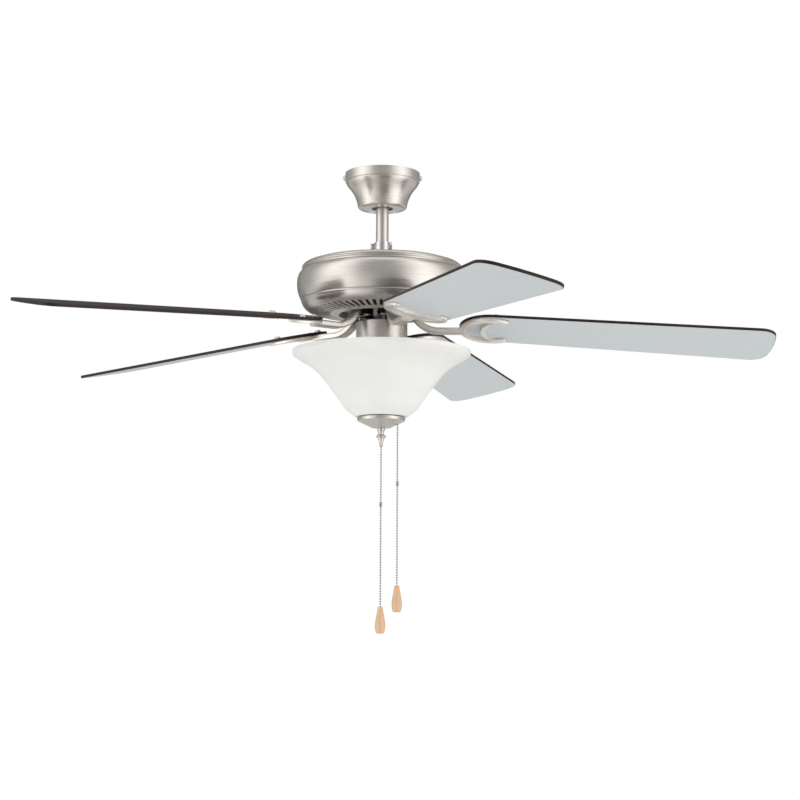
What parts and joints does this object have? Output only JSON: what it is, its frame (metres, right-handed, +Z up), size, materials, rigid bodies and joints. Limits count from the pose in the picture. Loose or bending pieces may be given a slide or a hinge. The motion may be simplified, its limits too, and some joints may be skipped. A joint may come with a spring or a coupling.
{
  "type": "ceiling fan with light",
  "caption": "Hanging ceiling fan: flared canopy, short downrod, drum motor housing, pitched paddle blades on open irons, frosted bell bowl light and bead pull chains.",
  "frame": {"origin": "on the fan's axis in the ceiling plane, at the centre of the bracket's two slots", "axes": "+Z up into the ceiling, +X along the slots and along blade 1, +Y to the back"},
  "size_m": [1.2213, 1.2779, 0.779],
  "materials": {
    "nickel": "satin brushed nickel",
    "nickel_cast": "satin nickel on a smooth casting",
    "zinc": "bright zinc plate",
    "plate_grey": "grey satin paint",
    "ball_black": "moulded black",
    "screw": "polished",
    "core_steel": "bare laminations",
    "bell": "dark cast",
    "winding": "enamelled copper wire",
    "wire": "insulated wire",
    "switch_body": "moulded",
    "socket": "moulded white",
    "lamp": "frosted",
    "bowl": "frosted white",
    "washer": "soft",
    "blade": "silver grey face, dark back",
    "chain": "nickel bead chain",
    "pendant": "light satin wood"
  },
  "bodies": {
    "ceiling_mount": {"hanger_bracket": "zinc", "canopy": "nickel", "canopy_plate": "plate_grey", "canopy_screws": "screw"},
    "fan_frame": {"hanger_ball": "ball_black", "ball_pin": "zinc", "downrod": "nickel", "yoke": "zinc", "yoke_pin": "zinc", "hairpin_clip": "zinc", "yoke_screws": "zinc", "motor_shaft": "core_steel", "stator_core": "core_steel", "windings": "winding", "bearings": "core_steel", "housing_lid": "nickel", "housing_shell": "nickel", "housing_pan": "nickel", "housing_screws": "screw", "lead_wires": "wire", "switch_housing": "nickel", "fitter_screws": "screw", "lock_nuts": "zinc", "speed_switch": "switch_body", "light_switch": "switch_body", "capacitor": "switch_body", "reverse_switch": "switch_body", "light_fitter": "zinc", "lamp_sockets": "socket", "lamps": "lamp", "centre_tube": "zinc", "glass_bowl": "bowl", "bowl_washer": "washer", "bowl_cap": "nickel", "finial": "nickel"},
    "rotor": {"rotor_upper_bell": "bell", "rotor_lower_bell": "bell", "rotor_cage": "core_steel", "arm_screws": "screw", "blade_screws": "screw", "blade_1": "blade", "blade_2": "blade", "blade_3": "blade", "blade_4": "blade", "blade_5": "blade", "blade_arm_1": "nickel_cast", "blade_arm_2": "nickel_cast", "blade_arm_3": "nickel_cast", "blade_arm_4": "nickel_cast", "blade_arm_5": "nickel_cast"},
    "reverse_lever": {"reverse_lever": "switch_body"},
    "fan_pull": {"fan_chain_upper": "chain", "fan_chain_connector": "chain"},
    "fan_pull_end": {"fan_chain_lower": "chain", "fan_pendant": "pendant"},
    "light_pull": {"light_chain_upper": "chain", "light_chain_connector": "chain"},
    "light_pull_end": {"light_chain_lower": "chain", "light_pendant": "pendant"}
  },
  "joints": [
    {"name": "hanger_sway", "type": "hinge", "parent": "ceiling_mount", "child": "fan_frame", "pos_m": [0, 0, -0.031], "axis": [0, 1, 0], "range_deg": [-12, 12]},
    {"name": "rotor_spin", "type": "hinge", "parent": "fan_frame", "child": "rotor", "pos_m": [0, 0, -0.207], "axis": [0, 0, 1], "continuous": true},
    {"name": "reverse_slide", "type": "slide", "parent": "fan_frame", "child": "reverse_lever", "axis": [1, 0, 0], "range_m": [0, 0.006]},
    {"name": "fan_pull_slide", "type": "slide", "parent": "fan_frame", "child": "fan_pull", "axis": [0, 0, -1], "range_m": [0, 0.01], "stiffness_N_per_m": 300, "springref_m": -0.002},
    {"name": "fan_pendant_swing", "type": "hinge", "parent": "fan_pull", "child": "fan_pull_end", "pos_m": [0, 0, -0.5706], "axis": [1, 0, 0], "range_deg": [-30, 30]},
    {"name": "light_pull_slide", "type": "slide", "parent": "fan_frame", "child": "light_pull", "axis": [0, 0, -1], "range_m": [0, 0.01], "stiffness_N_per_m": 300, "springref_m": -0.002},
    {"name": "light_pendant_swing", "type": "hinge", "parent": "light_pull", "child": "light_pull_end", "pos_m": [0.0274, 0, -0.5354], "axis": [1, 0, 0], "range_deg": [-30, 30]}
  ]
}
